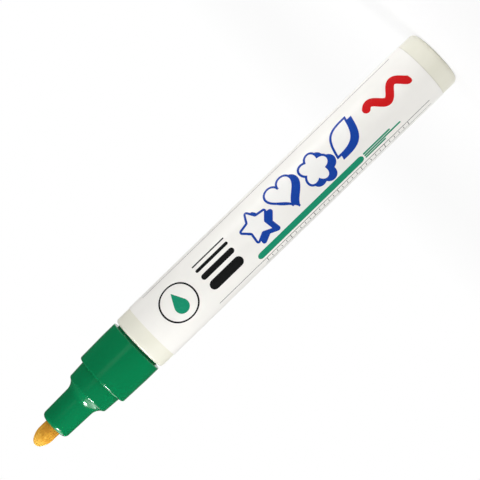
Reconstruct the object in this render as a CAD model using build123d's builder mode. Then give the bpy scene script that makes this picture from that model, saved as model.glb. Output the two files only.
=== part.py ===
"""Valve-action paint marker, standing on its tail, shown without its cap.

Frame: millimetres, +Z along the marker's axis from the tail to the nib, origin at the centre of
the tail face. The printed front of the label looks towards -Y, and its seam is at +Y.
"""

import itertools
import math
import os

from build123d import *

# Barrel: an ivory tank, closed at the tail and open at the mouth
barrel_diameter = 14.9
barrel_length = 95.9
reservoir_wall = 1.65
mouth_wall = 0.95
mouth_depth = 12.2
tail_wall = 1.6
tail_edge_radius = 1.3
mouth_edge_radius = 0.7
mouth_lead_in = 0.15
reservoir_floor_radius = 2.0
tail_recess_diameter = 8.0
tail_recess_depth = 0.4

# Label: a film wrapped round the barrel, its ends meeting at the back
label_thickness = 0.1
label_tail_margin = 4.9
label_mouth_margin = 4.3
label_seam_gap = 0.5
adhesive_thickness = 0.02

# Front holder: the green collar, step and nose, with a slim neck and a spigot that snaps into the mouth
collar_gap = 0.6
neck_wall = 1.5
collar_length = 11.4
collar_inset = 0.12
collar_taper = 0.19
cap_land_length = 4.0
collar_edge_radius = 0.5
collar_heel_chamfer = 0.15
step_length = 4.6
step_ledge_width = 1.09
step_taper = 0.29
step_edge_radius = 0.7
nose_length = 10.9
nose_rear_diameter = 8.12
nose_front_diameter = 7.72
flare_length = 2.6
nose_edge_radius = 1.2
spigot_wall = 1.27
bead_height = 0.25
bead_depth_in_mouth = 4.2
chamber_wall = 2.4
chamber_cone_length = 5.0
nose_lip_length = 2.0
nose_mouth_chamfer = 0.2
rib_count = 6
rib_width = 0.7
rib_height = 0.4

# Nib: a bullet of bonded fibre
nib_diameter = 4.4
nib_reach = 6.0
nib_bullet_length = 3.7
nib_tip_radius = 1.45
nib_tail_chamfer = 0.4
nib_travel = 1.8
nib_tail_gap = 2.2

# Valve: housing, washer, stem, spring and cage behind the nib
gasket_thickness = 0.8
gasket_bore_overhang = 0.2
flange_thickness = 1.2
sleeve_length = 7.5
sleeve_end_gap = 0.5
nib_well_gap = 0.6
seat_wall_thickness = 2.0
seat_hole_diameter = 2.5
seat_lip_width = 0.4
seat_lip_height = 0.5
skirt_flow_gap = 1.1
skirt_wall = 1.0
skirt_length = 12.8
window_count = 4
window_width = 1.6
window_height = 5.0
washer_thickness = 0.9
stem_head_thickness = 1.6
stem_head_flow_gap = 0.6
stem_pin_diameter = 1.6
stem_stop_diameter = 2.2
stem_end_chamfer = 0.2
cage_plug_length = 2.0
cage_flange_thickness = 1.0
cage_guide_length = 1.8
spring_wire_diameter = 0.4
spring_turns = 6.5
points_per_turn = 24

# Mixing ball in the reservoir
ball_diameter = 6.0

# Clearances between pieces
press_clearance = 0.03
running_clearance = 0.05
seat_clearance = 0.15
rest_clearance = 0.1
cut_overrun = 1.0
height_tolerance = 0.001

# Radii that several pieces share
barrel_radius = barrel_diameter / 2
reservoir_radius = barrel_radius - reservoir_wall
mouth_radius = barrel_radius - mouth_wall
spigot_radius = mouth_radius - press_clearance
spigot_bore_radius = spigot_radius - spigot_wall
flange_radius = mouth_radius - seat_clearance
sleeve_radius = spigot_bore_radius - press_clearance
skirt_radius = reservoir_radius - skirt_flow_gap
skirt_bore_radius = skirt_radius - skirt_wall
stem_head_radius = skirt_bore_radius - stem_head_flow_gap
nib_radius = nib_diameter / 2
nib_bore_radius = nib_radius + rib_height + running_clearance
stem_pin_radius = stem_pin_diameter / 2
stem_stop_radius = stem_stop_diameter / 2
seat_hole_radius = seat_hole_diameter / 2
seat_lip_radius = (seat_hole_radius + stem_head_radius) / 2
spring_radius = (stem_stop_radius + stem_head_radius) / 2
ball_radius = ball_diameter / 2
full_turn = 360
quarter_turn = 90

# Heights along the axis, from the tail face upwards
ledge_z = barrel_length - mouth_depth
flange_rear_z = ledge_z + gasket_thickness
flange_front_z = flange_rear_z + flange_thickness
collar_rear_z = barrel_length + collar_gap
collar_front_z = collar_rear_z + collar_length
step_front_z = collar_front_z + step_length
nose_front_z = step_front_z + nose_length
apex_z = nose_front_z + nib_reach
bead_z = barrel_length - bead_depth_in_mouth
seat_front_z = flange_front_z + seat_wall_thickness
sleeve_front_z = flange_front_z + sleeve_length
nib_tail_z = seat_front_z + nib_travel + nib_tail_gap
seat_lip_z = flange_front_z - seat_lip_height
skirt_rear_z = flange_rear_z - skirt_length
washer_rear_z = seat_lip_z - washer_thickness
stem_head_rear_z = washer_rear_z - stem_head_thickness
cage_front_z = skirt_rear_z + cage_plug_length
cage_rear_z = skirt_rear_z - cage_flange_thickness
stem_stop_z = cage_front_z + nib_travel + running_clearance
stem_tail_z = cage_front_z - cage_guide_length
ball_rest_z = tail_wall + ball_radius + rest_clearance
ball_top_z = min(cage_rear_z, stem_tail_z - nib_travel) - rest_clearance - ball_radius


def rims_at(piece, height):
    """Return the circles of a piece at one height, the smallest first."""
    circles = piece.edges().filter_by(GeomType.CIRCLE)
    level = circles.filter_by_position(Axis.Z, height - height_tolerance, height + height_tolerance)
    return level.sort_by(SortBy.RADIUS)


def helix_biarcs(radius, pitch, turns, start_z):
    """Draw a helix about Z in the current line as two tangent arcs for each half turn."""
    half_turns = round(2 * turns)
    rise = pitch / 2

    def place(step):
        angle = math.pi * step
        point = Vector(radius * math.cos(angle), radius * math.sin(angle), start_z + rise * step)
        heading = Vector(-radius * math.sin(angle), radius * math.cos(angle), rise / math.pi)
        return point, heading.normalized()

    for step in range(half_turns):
        start, start_way = place(step)
        end, end_way = place(step + 1)
        chord = end - start
        along = chord.dot(start_way + end_way)
        spread = 2 * (1 - start_way.dot(end_way))
        reach = (math.sqrt(along**2 + spread * chord.dot(chord)) - along) / spread
        lead = start + start_way * reach
        trail = end - end_way * reach
        joint = (lead + trail) / 2
        TangentArc(start, joint, tangent=start_way)
        TangentArc(joint, end, tangent=trail - lead)


def least_turn_gap(path, wire_diameter, turns):
    """Return the least gap between a coil's turns, measured on points of its middle line."""
    count = round(turns * points_per_turn)
    points = [path @ (step / count) for step in range(count + 1)]
    pairs = itertools.combinations(range(count + 1), 2)
    apart = [pair for pair in pairs if pair[1] - pair[0] > points_per_turn / 2]
    return min((points[one] - points[two]).length for one, two in apart) - wire_diameter


# Barrel
with BuildPart() as barrel:
    with BuildSketch():
        Circle(barrel_radius)
    extrude(amount=barrel_length)
    fillet(rims_at(barrel, 0), radius=tail_edge_radius)
    fillet(rims_at(barrel, barrel_length), radius=min(mouth_edge_radius, mouth_wall - mouth_lead_in))
    with BuildSketch(Plane.XY.offset(tail_wall)):
        Circle(reservoir_radius)
    extrude(amount=barrel_length, mode=Mode.SUBTRACT)
    fillet(rims_at(barrel, tail_wall), radius=reservoir_floor_radius)
    with BuildSketch(Plane.XY.offset(ledge_z)):
        Circle(mouth_radius)
    extrude(amount=barrel_length, mode=Mode.SUBTRACT)
    chamfer(rims_at(barrel, barrel_length)[0], length=mouth_lead_in)
    with BuildSketch(Plane.XZ):
        with Locations((mouth_radius, bead_z)):
            Circle(bead_height + press_clearance)
    revolve(axis=Axis.Z, mode=Mode.SUBTRACT)
    with BuildSketch():
        Circle(tail_recess_diameter / 2)
    extrude(amount=tail_recess_depth, mode=Mode.SUBTRACT)
barrel.part.label = "barrel"

# Label, turned from one edge of its seam round to the other
label_inner_radius = barrel_radius + adhesive_thickness
label_length = barrel_length - label_tail_margin - label_mouth_margin
seam_angle = label_seam_gap / (label_inner_radius + label_thickness)
seam_edge_plane = Plane(
    origin=(0, 0, label_tail_margin),
    x_dir=(-math.sin(seam_angle / 2), math.cos(seam_angle / 2), 0),
    z_dir=(math.cos(seam_angle / 2), math.sin(seam_angle / 2), 0),
)
with BuildPart() as label:
    with BuildSketch(seam_edge_plane):
        with Locations((label_inner_radius, 0)):
            Rectangle(label_thickness, label_length, align=(Align.MIN, Align.MIN))
    revolve(axis=Axis.Z, revolution_arc=full_turn - math.degrees(seam_angle))
label.part.label = "label"

# Front holder
collar_rear_radius = barrel_radius - collar_inset
collar_front_radius = collar_rear_radius - collar_taper
step_rear_radius = collar_front_radius - step_ledge_width
step_front_radius = step_rear_radius - step_taper
chamber_radius = collar_front_radius - chamber_wall
neck_radius = chamber_radius + neck_wall
neck_rear_z = barrel_length - mouth_lead_in
chamber_front_z = collar_front_z - chamber_wall
nose_bore_z = chamber_front_z + chamber_cone_length
nose_lip_z = nose_front_z - nose_lip_length
nose_lip_radius = nib_radius + running_clearance
nose_lip_wall = nose_front_diameter / 2 - nose_lip_radius
flare_front_z = step_front_z + flare_length
spigot_step_z = sleeve_front_z + sleeve_end_gap
with BuildPart() as front_holder:
    with BuildSketch(Plane.XZ):
        with BuildLine():
            Polyline(
                (nose_rear_diameter / 2, flare_front_z),
                (nose_front_diameter / 2, nose_front_z),
                (0, nose_front_z),
                (0, flange_front_z),
                (spigot_radius, flange_front_z),
                (spigot_radius, neck_rear_z),
                (neck_radius, neck_rear_z),
                (neck_radius, collar_rear_z),
                (collar_rear_radius, collar_rear_z),
                (collar_rear_radius, collar_rear_z + cap_land_length),
                (collar_front_radius, collar_front_z),
                (step_rear_radius, collar_front_z),
                (step_front_radius, step_front_z),
            )
            TangentArc(
                (nose_rear_diameter / 2, flare_front_z),
                (step_front_radius, step_front_z),
                tangent=(nose_rear_diameter / 2 - nose_front_diameter / 2, flare_front_z - nose_front_z),
            )
        make_face()
    revolve(axis=Axis.Z)
    chamfer(rims_at(front_holder, collar_rear_z)[-1], length=collar_heel_chamfer)
    fillet(rims_at(front_holder, collar_front_z)[-1], radius=collar_edge_radius)
    fillet(rims_at(front_holder, step_front_z)[-1], radius=step_edge_radius)
    nose_edge_room = nose_lip_wall - 2 * nose_mouth_chamfer
    fillet(rims_at(front_holder, nose_front_z)[-1], radius=min(nose_edge_radius, nose_edge_room))
    with BuildSketch(Plane.XZ):
        with Locations((spigot_radius, bead_z)):
            Circle(bead_height)
    revolve(axis=Axis.Z)
    with BuildSketch(Plane.XZ):
        with BuildLine():
            Polyline(
                (0, flange_front_z),
                (spigot_bore_radius, flange_front_z),
                (spigot_bore_radius, spigot_step_z),
                (chamber_radius, spigot_step_z),
                (chamber_radius, chamber_front_z),
                (nib_bore_radius, nose_bore_z),
                (nib_bore_radius, nose_lip_z),
                (nose_lip_radius, nose_lip_z),
                (nose_lip_radius, nose_front_z),
                (0, nose_front_z),
                close=True,
            )
        make_face()
    revolve(axis=Axis.Z, mode=Mode.SUBTRACT)
    chamfer(rims_at(front_holder, nose_front_z)[0], length=nose_mouth_chamfer)
    with BuildSketch(Plane.XY.offset(nose_bore_z)):
        with PolarLocations(nose_lip_radius, rib_count):
            Rectangle(rib_height + rib_width / 2, rib_width, align=(Align.MIN, Align.CENTER))
    extrude(amount=nose_lip_z - nose_bore_z)
front_holder.part.label = "front_holder"

# Nib: the tip's arc runs into a flatter flank, which runs into the shaft
bullet_z = apex_z - nib_bullet_length
flank_area = nib_radius**2 + nib_bullet_length**2 - 2 * nib_bullet_length * nib_tip_radius
flank_radius = flank_area / (2 * (nib_radius - nib_tip_radius))
flank_centre = Vector(nib_radius - flank_radius, bullet_z)
tip_centre = Vector(0, apex_z - nib_tip_radius)
tip_joint = flank_centre + (tip_centre - flank_centre).normalized() * flank_radius
with BuildPart() as nib:
    with BuildSketch(Plane.XZ):
        with BuildLine():
            Polyline(
                (0, apex_z),
                (0, nib_tail_z),
                (nib_radius, nib_tail_z),
                (nib_radius, bullet_z),
            )
            TangentArc((nib_radius, bullet_z), tip_joint, tangent=(0, nib_bullet_length))
            TangentArc((0, apex_z), tip_joint, tangent=(nib_radius, 0))
        make_face()
    revolve(axis=Axis.Z)
    chamfer(rims_at(nib, nib_tail_z), length=nib_tail_chamfer)
nib.part.label = "nib"

# Barrel gasket
gasket_bore_radius = reservoir_radius - gasket_bore_overhang
with BuildPart() as barrel_gasket:
    with BuildSketch(Plane.XY.offset(ledge_z)):
        Circle(flange_radius)
        Circle(gasket_bore_radius, mode=Mode.SUBTRACT)
    extrude(amount=gasket_thickness)
barrel_gasket.part.label = "barrel_gasket"

# Valve housing
with BuildPart() as valve_housing:
    with BuildSketch(Plane.XZ):
        with BuildLine():
            Polyline(
                (skirt_bore_radius, skirt_rear_z),
                (skirt_radius, skirt_rear_z),
                (skirt_radius, flange_rear_z),
                (flange_radius, flange_rear_z),
                (flange_radius, flange_front_z),
                (sleeve_radius, flange_front_z),
                (sleeve_radius, sleeve_front_z),
                (nib_radius + nib_well_gap, sleeve_front_z),
                (nib_radius + nib_well_gap, seat_front_z),
                (seat_hole_radius, seat_front_z),
                (seat_hole_radius, flange_front_z),
                (seat_lip_radius - seat_lip_width / 2, flange_front_z),
                (seat_lip_radius - seat_lip_width / 2, seat_lip_z),
                (seat_lip_radius + seat_lip_width / 2, seat_lip_z),
                (seat_lip_radius + seat_lip_width / 2, flange_front_z),
                (skirt_bore_radius, flange_front_z),
                close=True,
            )
        make_face()
    revolve(axis=Axis.Z)
    window_z = (cage_front_z + stem_head_rear_z) / 2
    for turn in range(window_count):
        with BuildSketch(Plane.XZ.rotated((0, turn * full_turn / window_count, 0))):
            with Locations((0, window_z)):
                SlotOverall(window_height, window_width, rotation=quarter_turn)
        extrude(amount=skirt_radius + cut_overrun, mode=Mode.SUBTRACT)
valve_housing.part.label = "valve_housing"

# Valve washer
with BuildPart() as valve_washer:
    with BuildSketch(Plane.XY.offset(washer_rear_z)):
        Circle(stem_head_radius)
        Circle(stem_pin_radius + press_clearance, mode=Mode.SUBTRACT)
    extrude(amount=washer_thickness)
valve_washer.part.label = "valve_washer"

# Valve stem
with BuildPart() as valve_stem:
    with BuildSketch(Plane.XZ):
        with BuildLine():
            Polyline(
                (0, stem_tail_z),
                (stem_pin_radius, stem_tail_z),
                (stem_pin_radius, stem_stop_z),
                (stem_stop_radius, stem_stop_z),
                (stem_stop_radius, stem_head_rear_z),
                (stem_head_radius, stem_head_rear_z),
                (stem_head_radius, washer_rear_z),
                (stem_pin_radius, washer_rear_z),
                (stem_pin_radius, nib_tail_z),
                (0, nib_tail_z),
                close=True,
            )
        make_face()
    revolve(axis=Axis.Z)
    chamfer(rims_at(valve_stem, stem_tail_z), length=stem_end_chamfer)
    chamfer(rims_at(valve_stem, nib_tail_z), length=stem_end_chamfer)
valve_stem.part.label = "valve_stem"

# Spring cage
with BuildPart() as spring_cage:
    with BuildSketch(Plane.XY.offset(cage_rear_z)):
        Circle(skirt_radius)
    extrude(amount=cage_flange_thickness)
    with BuildSketch(Plane.XY.offset(skirt_rear_z)):
        Circle(skirt_bore_radius - press_clearance)
    extrude(amount=cage_plug_length)
    with BuildSketch(Plane.XY.offset(cage_rear_z)):
        Circle(stem_pin_radius + running_clearance)
    extrude(until=Until.LAST, mode=Mode.SUBTRACT)
spring_cage.part.label = "spring_cage"

# Valve spring
spring_start_z = cage_front_z + running_clearance + spring_wire_diameter / 2
spring_end_z = stem_head_rear_z - running_clearance - spring_wire_diameter / 2
spring_pitch = (spring_end_z - spring_start_z) / spring_turns
with BuildPart() as valve_spring:
    with BuildLine() as spring_path:
        helix_biarcs(spring_radius, spring_pitch, spring_turns, spring_start_z)
    with BuildSketch(spring_path.line ^ 0):
        Circle(spring_wire_diameter / 2)
    sweep(path=spring_path.line)
valve_spring.part.label = "valve_spring"
spring_gap = least_turn_gap(spring_path.line, spring_wire_diameter, spring_turns)
print("valve spring's least gap to itself", round(spring_gap, 3))

# Mixing ball
with BuildPart() as mixing_ball:
    with Locations((0, 0, ball_rest_z)):
        Sphere(ball_radius)
mixing_ball.part.label = "mixing_ball"

print("overall length", round(apex_z, 3), "nib length", round(apex_z - nib_tail_z, 3))
print("ball travel", round(ball_top_z - ball_rest_z, 3))
os.makedirs("parts", exist_ok=True)
for piece in (
    barrel,
    label,
    front_holder,
    nib,
    barrel_gasket,
    valve_housing,
    valve_washer,
    valve_stem,
    spring_cage,
    valve_spring,
    mixing_ball,
):
    export_step(piece.part, f"parts/{piece.part.label}.step")
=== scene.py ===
"""Looks of an uncapped paint marker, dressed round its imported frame.

Frame: metres, +Z along the marker's axis from the tail to the nib, origin at the centre of the tail
face. The printed front of the label looks towards -Y and its seam towards +Y.
"""

from __future__ import annotations

import logging
import math
from collections.abc import Callable, Sequence
from dataclasses import dataclass
from enum import Enum
from functools import cache

import bmesh
import bpy
from mathutils import Matrix, Vector, noise


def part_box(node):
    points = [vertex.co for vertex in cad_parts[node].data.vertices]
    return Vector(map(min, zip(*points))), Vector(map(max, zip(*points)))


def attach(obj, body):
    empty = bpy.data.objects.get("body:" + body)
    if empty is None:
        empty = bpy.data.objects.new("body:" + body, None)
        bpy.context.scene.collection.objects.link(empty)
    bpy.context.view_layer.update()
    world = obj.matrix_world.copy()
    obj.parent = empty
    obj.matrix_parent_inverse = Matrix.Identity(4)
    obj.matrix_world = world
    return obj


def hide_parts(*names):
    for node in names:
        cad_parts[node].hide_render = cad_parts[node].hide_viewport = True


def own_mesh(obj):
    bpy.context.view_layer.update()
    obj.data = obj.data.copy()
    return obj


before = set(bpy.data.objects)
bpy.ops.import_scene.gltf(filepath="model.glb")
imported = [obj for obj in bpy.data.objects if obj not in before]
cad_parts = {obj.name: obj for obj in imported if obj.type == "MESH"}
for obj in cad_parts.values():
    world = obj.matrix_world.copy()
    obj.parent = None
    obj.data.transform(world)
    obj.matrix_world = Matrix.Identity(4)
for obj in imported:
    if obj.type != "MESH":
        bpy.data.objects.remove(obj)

MM = 0.001
FULL_TURN = 2 * math.pi
QUARTER_TURN = math.pi / 2
SHARP_ANGLE = math.radians(32)
NOISE_SPAN = (0.3, 0.7)
WHITE = (1.0, 1.0, 1.0, 1.0)
BLACK = (0.0, 0.0, 0.0, 1.0)
LOG = logging.getLogger("paint_marker")

Point = tuple[float, float]
Triple = tuple[float, float, float]
Colour = tuple[float, float, float, float]
Face = list[Point]
Socket = bpy.types.NodeSocket
Material = bpy.types.Material
Piece = bpy.types.Object


class Body(Enum):
    """Bodies of the frame that new pieces ride on."""

    PEN = "pen_body"
    PLUNGER = "tip_plunger"


class Slot(Enum):
    """Names of the record's material slots; no piece in this script takes its finish from them."""

    BARREL = "barrel_ivory"
    LABEL = "label_film"
    HOLDER = "holder_green"
    NIB = "nib_fibre"
    SPRING = "spring_steel"


def srgb(red: int, green: int, blue: int) -> Colour:
    """Turn a display colour into the linear colour that shaders take, by the sRGB curve.

    Args:
        red: Red from 0 to 255.
        green: Green from 0 to 255.
        blue: Blue from 0 to 255.

    Returns:
        The linear colour with full alpha.
    """
    shares = [channel / 255 for channel in (red, green, blue)]
    linear = [s / 12.92 if s <= 0.04045 else ((s + 0.055) / 1.055) ** 2.4 for s in shares]
    return (*linear, 1.0)


class NodeSheet:
    """A node tree, with short calls that add and wire its nodes."""

    def __init__(self, tree: bpy.types.NodeTree) -> None:
        """Take over the tree of a material, a world or a geometry recipe."""
        self.tree = tree

    def add(self, kind: str, inputs: dict | None = None, **settings: object) -> bpy.types.Node:
        """Add a node and fill in its inputs.

        Args:
            kind: Blender's name of the node type.
            inputs: Values or output sockets for the node's inputs, by input name or place.
            settings: Properties of the node itself.

        Returns:
            The new node.
        """
        node = self.tree.nodes.new(kind)
        for name, value in settings.items():
            setattr(node, name, value)
        for key, value in (inputs or {}).items():
            self.feed(node.inputs[key], value)
        return node

    def feed(self, socket: Socket, value: object) -> None:
        """Wire an output into a socket, or set the socket's own value.

        Args:
            socket: Input of a node.
            value: Output of another node, or a plain value.
        """
        if isinstance(value, Socket):
            self.tree.links.new(value, socket)
        else:
            socket.default_value = value

    def number(self, operation: str, *terms: object) -> Socket:
        """Work out one number from others."""
        return self.add("ShaderNodeMath", dict(enumerate(terms)), operation=operation).outputs[0]

    def vector(self, operation: str, *terms: object) -> Socket:
        """Work out one vector from others."""
        return self.add("ShaderNodeVectorMath", dict(enumerate(terms)), operation=operation).outputs[0]

    def measure(self, operation: str, *terms: object) -> Socket:
        """Work out one number from vectors."""
        return self.add("ShaderNodeVectorMath", dict(enumerate(terms)), operation=operation).outputs[1]

    def scaled(self, vector: Socket, factor: Socket) -> Socket:
        """Stretch a vector by a factor."""
        return self.add("ShaderNodeVectorMath", {0: vector, "Scale": factor}, operation="SCALE").outputs[0]

    def split(self, vector: Socket) -> tuple[Socket, ...]:
        """Take a vector apart into its X, Y and Z."""
        return tuple(self.add("ShaderNodeSeparateXYZ", {"Vector": vector}).outputs)

    def joined(self, x: object, y: object, z: object) -> Socket:
        """Put a vector together from its X, Y and Z."""
        return self.add("ShaderNodeCombineXYZ", {"X": x, "Y": y, "Z": z}).outputs[0]

    def span(self, value: Socket, source: Point, target: Point = (0.0, 1.0)) -> Socket:
        """Map a span of a value to a span of another quantity, held at both ends.

        Args:
            value: Value to map.
            source: First and last value of its span.
            target: What these two become.

        Returns:
            The mapped value.
        """
        names = ("Value", "From Min", "From Max", "To Min", "To Max")
        inputs = dict(zip(names, (value, *source, *target)))
        return self.add("ShaderNodeMapRange", inputs).outputs["Result"]

    def rays(self) -> tuple[Socket, Socket]:
        """Tell apart the rays that meet a surface.

        Returns:
            A test for rays from the lens, and one for rays that a glossy or clear surface sends on.
        """
        kinds = self.add("ShaderNodeLightPath").outputs
        mirrored = self.number("MAXIMUM", kinds["Is Glossy Ray"], kinds["Is Transmission Ray"])
        return kinds["Is Camera Ray"], mirrored


@dataclass(frozen=True)
class Grain:
    """A cloudy noise fixed to a piece.

    The scale is in cells per metre and the detail in octaves. Draw gives shares of the scale along X, Y
    and Z; below 1 it draws the cells out. Depth is the noise's real height as relief.
    """

    scale: float
    detail: float
    draw: Triple = (1.0, 1.0, 1.0)
    depth: float = 0.0


class ShaderSheet(NodeSheet):
    """A material's node tree, whose surface is one Principled shader."""

    # Places of the factor, the two colours and their mixture among the Mix node's sockets.
    MIX_INPUTS = (0, 6, 7)
    MIX_RESULT = 2

    def __init__(self, name: str) -> None:
        """Start a material.

        Args:
            name: Name of the material.
        """
        self.material = bpy.data.materials.new(name)
        self.material.use_nodes = True
        super().__init__(self.material.node_tree)
        self.shader = self.tree.nodes["Principled BSDF"]
        self.place = self.add("ShaderNodeTexCoord").outputs["Object"]

    def speckle(self, grain: Grain) -> Socket:
        """Add a noise.

        Args:
            grain: Its cells.

        Returns:
            The noise value, from 0 to 1.
        """
        placed = self.add("ShaderNodeMapping", {"Vector": self.place, "Scale": grain.draw})
        cells = {"Vector": placed.outputs["Vector"], "Scale": grain.scale, "Detail": grain.detail}
        return self.add("ShaderNodeTexNoise", cells).outputs["Fac"]

    def ramp(self, factor: Socket, stops: Sequence[float], tones: Sequence[Colour]) -> Socket:
        """Turn a value into a colour.

        Args:
            factor: Value from 0 to 1.
            stops: Two or more values, in order.
            tones: The colours at these values.

        Returns:
            The colour.
        """
        node = self.add("ShaderNodeValToRGB", {"Fac": factor})
        elements = node.color_ramp.elements
        while len(elements) < len(stops):
            elements.new(stops[-1])
        for element, stop, tone in zip(elements, stops, tones):
            element.position = stop
            element.color = tone
        return node.outputs["Color"]

    def mix(self, factor: Socket, under: Socket, over: Colour) -> Socket:
        """Lay a colour over another, as thick as a factor says."""
        layers = dict(zip(self.MIX_INPUTS, (factor, under, over)))
        return self.add("ShaderNodeMix", layers, data_type="RGBA").outputs[self.MIX_RESULT]

    def bump(self, height: Socket, depth: float, under: Socket | None = None) -> Socket:
        """Raise the surface in shading.

        Args:
            height: Height from 0 to 1.
            depth: Real height of that span.
            under: Normal that is bent already, if there is one.

        Returns:
            The bent normal.
        """
        relief = {"Height": height, "Distance": depth}
        if under is not None:
            relief["Normal"] = under
        return self.add("ShaderNodeBump", relief).outputs["Normal"]

    def surface(self, **inputs: object) -> Material:
        """Set the shader's inputs.

        Args:
            inputs: Values or output sockets, by input name with underscores for spaces.

        Returns:
            The material.
        """
        for name, value in inputs.items():
            self.feed(self.shader.inputs[name.replace("_", " ")], value)
        return self.material


@dataclass(frozen=True, kw_only=True)
class Finish:
    """A surface whose grain breaks up its gloss, in tones that follow its cloud, or else its grain."""

    name: str
    tones: tuple[Colour, ...]
    gloss: Point
    grain: Grain
    cloud: Grain | None = None
    stops: tuple[float, ...] = (0.3, 0.7)
    specular: float = 0.5
    metallic: float = 0.0

    def colour(self, sheet: ShaderSheet, cloud: Socket, grain: Socket) -> Socket:
        """Give the colour, which here follows the cloud alone."""
        return sheet.ramp(cloud, self.stops, self.tones)

    @cache
    def material(self) -> Material:
        """Build the finish's node material, once for all pieces that wear it.

        Returns:
            The material.
        """
        sheet = ShaderSheet(self.name)
        grain = sheet.speckle(self.grain)
        cloud = sheet.speckle(self.cloud) if self.cloud else grain
        swell = sheet.bump(cloud, self.cloud.depth) if self.cloud and self.cloud.depth else None
        return sheet.surface(
            Base_Color=self.colour(sheet, cloud, grain),
            Metallic=self.metallic,
            Roughness=sheet.span(grain, NOISE_SPAN, self.gloss),
            Specular_IOR_Level=self.specular,
            Normal=sheet.bump(grain, self.grain.depth, swell),
        )


@dataclass(frozen=True, kw_only=True)
class MouldedPlastic(Finish):
    """Moulded plastic: a little cloudy in colour, with a fine skin that breaks up its gloss."""

    grain: Grain = Grain(5200.0, 3.0, depth=0.006 * MM)
    cloud: Grain | None = Grain(160.0, 4.0, draw=(1.0, 1.0, 0.35))
    specular: float = 0.4


@dataclass(frozen=True, kw_only=True)
class EdgeShadowedPlastic(MouldedPlastic):
    """Moulded plastic with a painted shadow line along the edge of a film that is stuck on it, broken up in
    patches.
    """

    edge_shadow_tone: Colour
    edge_shadow_at: float
    edge_shadow_reach: float = 0.3 * MM
    edge_shadow_share: float = 0.4
    edge_shadow_patches: Grain = Grain(900.0, 3.0)
    edge_shadow_patch_shares: Point = (0.4, 1.0)

    def colour(self, sheet: ShaderSheet, cloud: Socket, grain: Socket) -> Socket:
        """Lay a painted shadow over the plastic's own colour, darkest right at the film's edge.

        Args:
            sheet: The material's sheet.
            cloud: Noise that the plastic's colour follows.
            grain: Noise of its skin.

        Returns:
            The colour with the painted shadow line.
        """
        # Painted shadow: the plastic darkens in a narrow band on both sides of the film's edge, in patches.
        height = sheet.split(sheet.place)[2]
        away = sheet.number("ABSOLUTE", sheet.number("SUBTRACT", height, self.edge_shadow_at))
        near = sheet.span(away, (0.0, self.edge_shadow_reach), (self.edge_shadow_share, 0.0))
        patchy_shadow = sheet.span(sheet.speckle(self.edge_shadow_patches), NOISE_SPAN, self.edge_shadow_patch_shares)
        thick = sheet.number("MULTIPLY", near, patchy_shadow)
        return sheet.mix(thick, super().colour(sheet, cloud, grain), self.edge_shadow_tone)


@dataclass(frozen=True, kw_only=True)
class PrintedFilm(Finish):
    """White label film: satin, with the soft ripple that a wrapped film keeps."""

    gloss: Point = (0.3, 0.42)
    grain: Grain = Grain(7000.0, 3.0, depth=0.003 * MM)
    cloud: Grain | None = Grain(220.0, 2.0, draw=(1.0, 1.0, 0.5), depth=0.012 * MM)
    stops: tuple[float, ...] = (0.35, 0.65)
    specular: float = 0.4


@dataclass(frozen=True, kw_only=True)
class PrintInk(Finish):
    """Ink on the label: a flat tone with the slight mottle of a printed solid."""

    gloss: Point = (0.32, 0.45)
    grain: Grain = Grain(2600.0, 5.0, depth=0.004 * MM)
    stops: tuple[float, ...] = (0.45, 0.85)
    specular: float = 0.2


@dataclass(frozen=True, kw_only=True)
class BondedFibre(Finish):
    """Nib felt: fibres drawn along the axis, golden at the tip and browner towards the holder."""

    speck: Colour
    tip_z: float
    holder_end_z: float
    gloss: Point = (0.7, 0.9)
    grain: Grain = Grain(5200.0, 4.0, draw=(1.0, 1.0, 0.12), depth=0.013 * MM)
    cloud: Grain | None = Grain(1100.0, 6.0)
    stops: tuple[float, ...] = (0.1, 0.5, 0.85)
    specular: float = 0.0
    blot_reach: float = 0.35
    speck_stops: Point = (0.3, 0.5)
    speck_share: float = 0.4

    def colour(self, sheet: ShaderSheet, cloud: Socket, grain: Socket) -> Socket:
        """Run through the tones from the end at the holder to the tip, with ragged borders and dark specks.

        Args:
            sheet: The material's sheet.
            cloud: Noise of the blots that make the borders ragged.
            grain: Noise of the fibres.

        Returns:
            The felt's colour.
        """
        rise = sheet.span(sheet.split(sheet.place)[2], (self.holder_end_z, self.tip_z))
        shift = sheet.span(cloud, NOISE_SPAN, (-self.blot_reach, self.blot_reach))
        felt = super().colour(sheet, sheet.number("ADD", rise, shift), grain)
        dark = sheet.ramp(grain, self.speck_stops, (WHITE, BLACK))
        return sheet.mix(sheet.number("MULTIPLY", dark, self.speck_share), felt, self.speck)


@dataclass(frozen=True, kw_only=True)
class SealRubber(Finish):
    """Matt black rubber with fine grain."""

    gloss: Point = (0.62, 0.85)
    grain: Grain = Grain(4200.0, 5.0, depth=0.015 * MM)
    stops: tuple[float, ...] = (0.3, 0.75)


@dataclass(frozen=True, kw_only=True)
class BrightSteel(Finish):
    """Bare steel with the fine marks of drawing or grinding."""

    metallic: float = 1.0


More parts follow.
